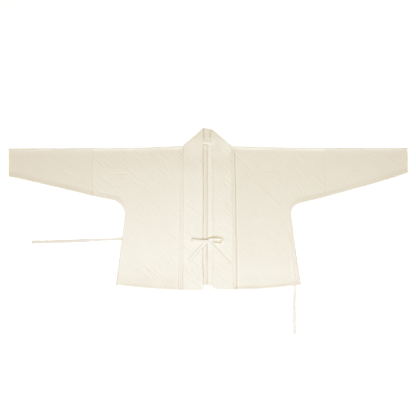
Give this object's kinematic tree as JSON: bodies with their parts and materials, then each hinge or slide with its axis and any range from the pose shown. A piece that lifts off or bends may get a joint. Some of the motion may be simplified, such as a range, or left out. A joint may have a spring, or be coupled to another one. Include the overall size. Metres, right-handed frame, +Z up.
{
  "type": "hanfu jacket",
  "caption": "Short straight-collared hanfu jacket in cream crinkled cotton, laid flat front up, with tapering sleeves, a long collar band tied in a bow, and free ties at both sides.",
  "frame": {"origin": "centre of the underside of the jacket's box, without its ties, on the surface that it lies on", "axes": "+X from the left cuff to the right cuff as seen from above, +Y from the hem to the neck, +Z up out of the front"},
  "size_m": [1.7, 0.8783, 0.0165],
  "materials": {
    "cotton": "matt crinkled cotton crepe",
    "cotton_band": "matt crinkled cotton crepe, two plies",
    "cotton_tape": "matt cotton, folded and stitched into a tape"
  },
  "bodies": {
    "root": {"body_left": "cotton", "body_right": "cotton", "sleeve_left": "cotton", "sleeve_right": "cotton", "collar_band": "cotton_band", "bow_tie_left": "cotton_tape", "bow_tie_right": "cotton_tape", "tie_side": "cotton_tape", "tie_inner": "cotton_tape"}
  },
  "joints": []
}
